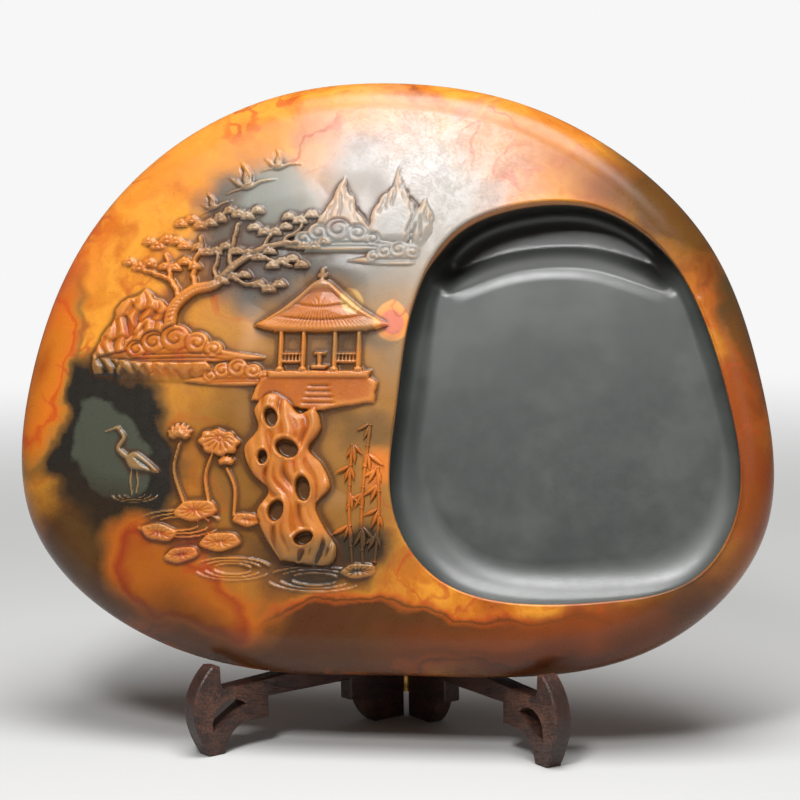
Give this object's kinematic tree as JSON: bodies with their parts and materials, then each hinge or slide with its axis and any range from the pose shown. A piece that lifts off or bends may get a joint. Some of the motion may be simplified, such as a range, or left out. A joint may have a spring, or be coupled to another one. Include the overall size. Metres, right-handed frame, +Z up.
{
  "type": "ink stone on a folding stand",
  "caption": "Large pebble-shaped carved ink stone with a rounded grinding basin and ink pool, leaning on a folding hinged wooden display stand.",
  "frame": {"origin": "centre of the bounding box on the floor that the feet stand on", "axes": "+X to the stone's right as seen from the basin side, +Y from the basin side to the hinge side, +Z up"},
  "size_m": [0.3481, 0.1197, 0.2999],
  "materials": {
    "ink_stone": "satin",
    "stand_wood": "satin",
    "hinge_brass": "satin",
    "pin_brass": "satin",
    "screw_brass": "satin"
  },
  "bodies": {
    "left_side": {"left_leg": "stand_wood", "lower_left_leaf": "hinge_brass", "upper_left_leaf": "hinge_brass", "lower_pin": "pin_brass", "upper_pin": "pin_brass", "left_screws": "screw_brass"},
    "right_side": {"right_leg": "stand_wood", "lower_right_leaf": "hinge_brass", "upper_right_leaf": "hinge_brass", "right_screws": "screw_brass"},
    "block": {"stone": "ink_stone"}
  },
  "joints": [
    {"name": "stone_lift", "type": "slide", "parent": "left_side", "child": "block", "axis": [0, 0, 1], "range_m": [0, 0.2]},
    {"name": "stand_fold", "type": "hinge", "parent": "left_side", "child": "right_side", "pos_m": [0, 0.0295, 0], "axis": [0, 0, 1], "range_deg": [-84, 0]}
  ],
  "couplings": [
    {"joint": "stand_fold", "follows": "stone_lift", "rad_per_m": -7.33}
  ]
}
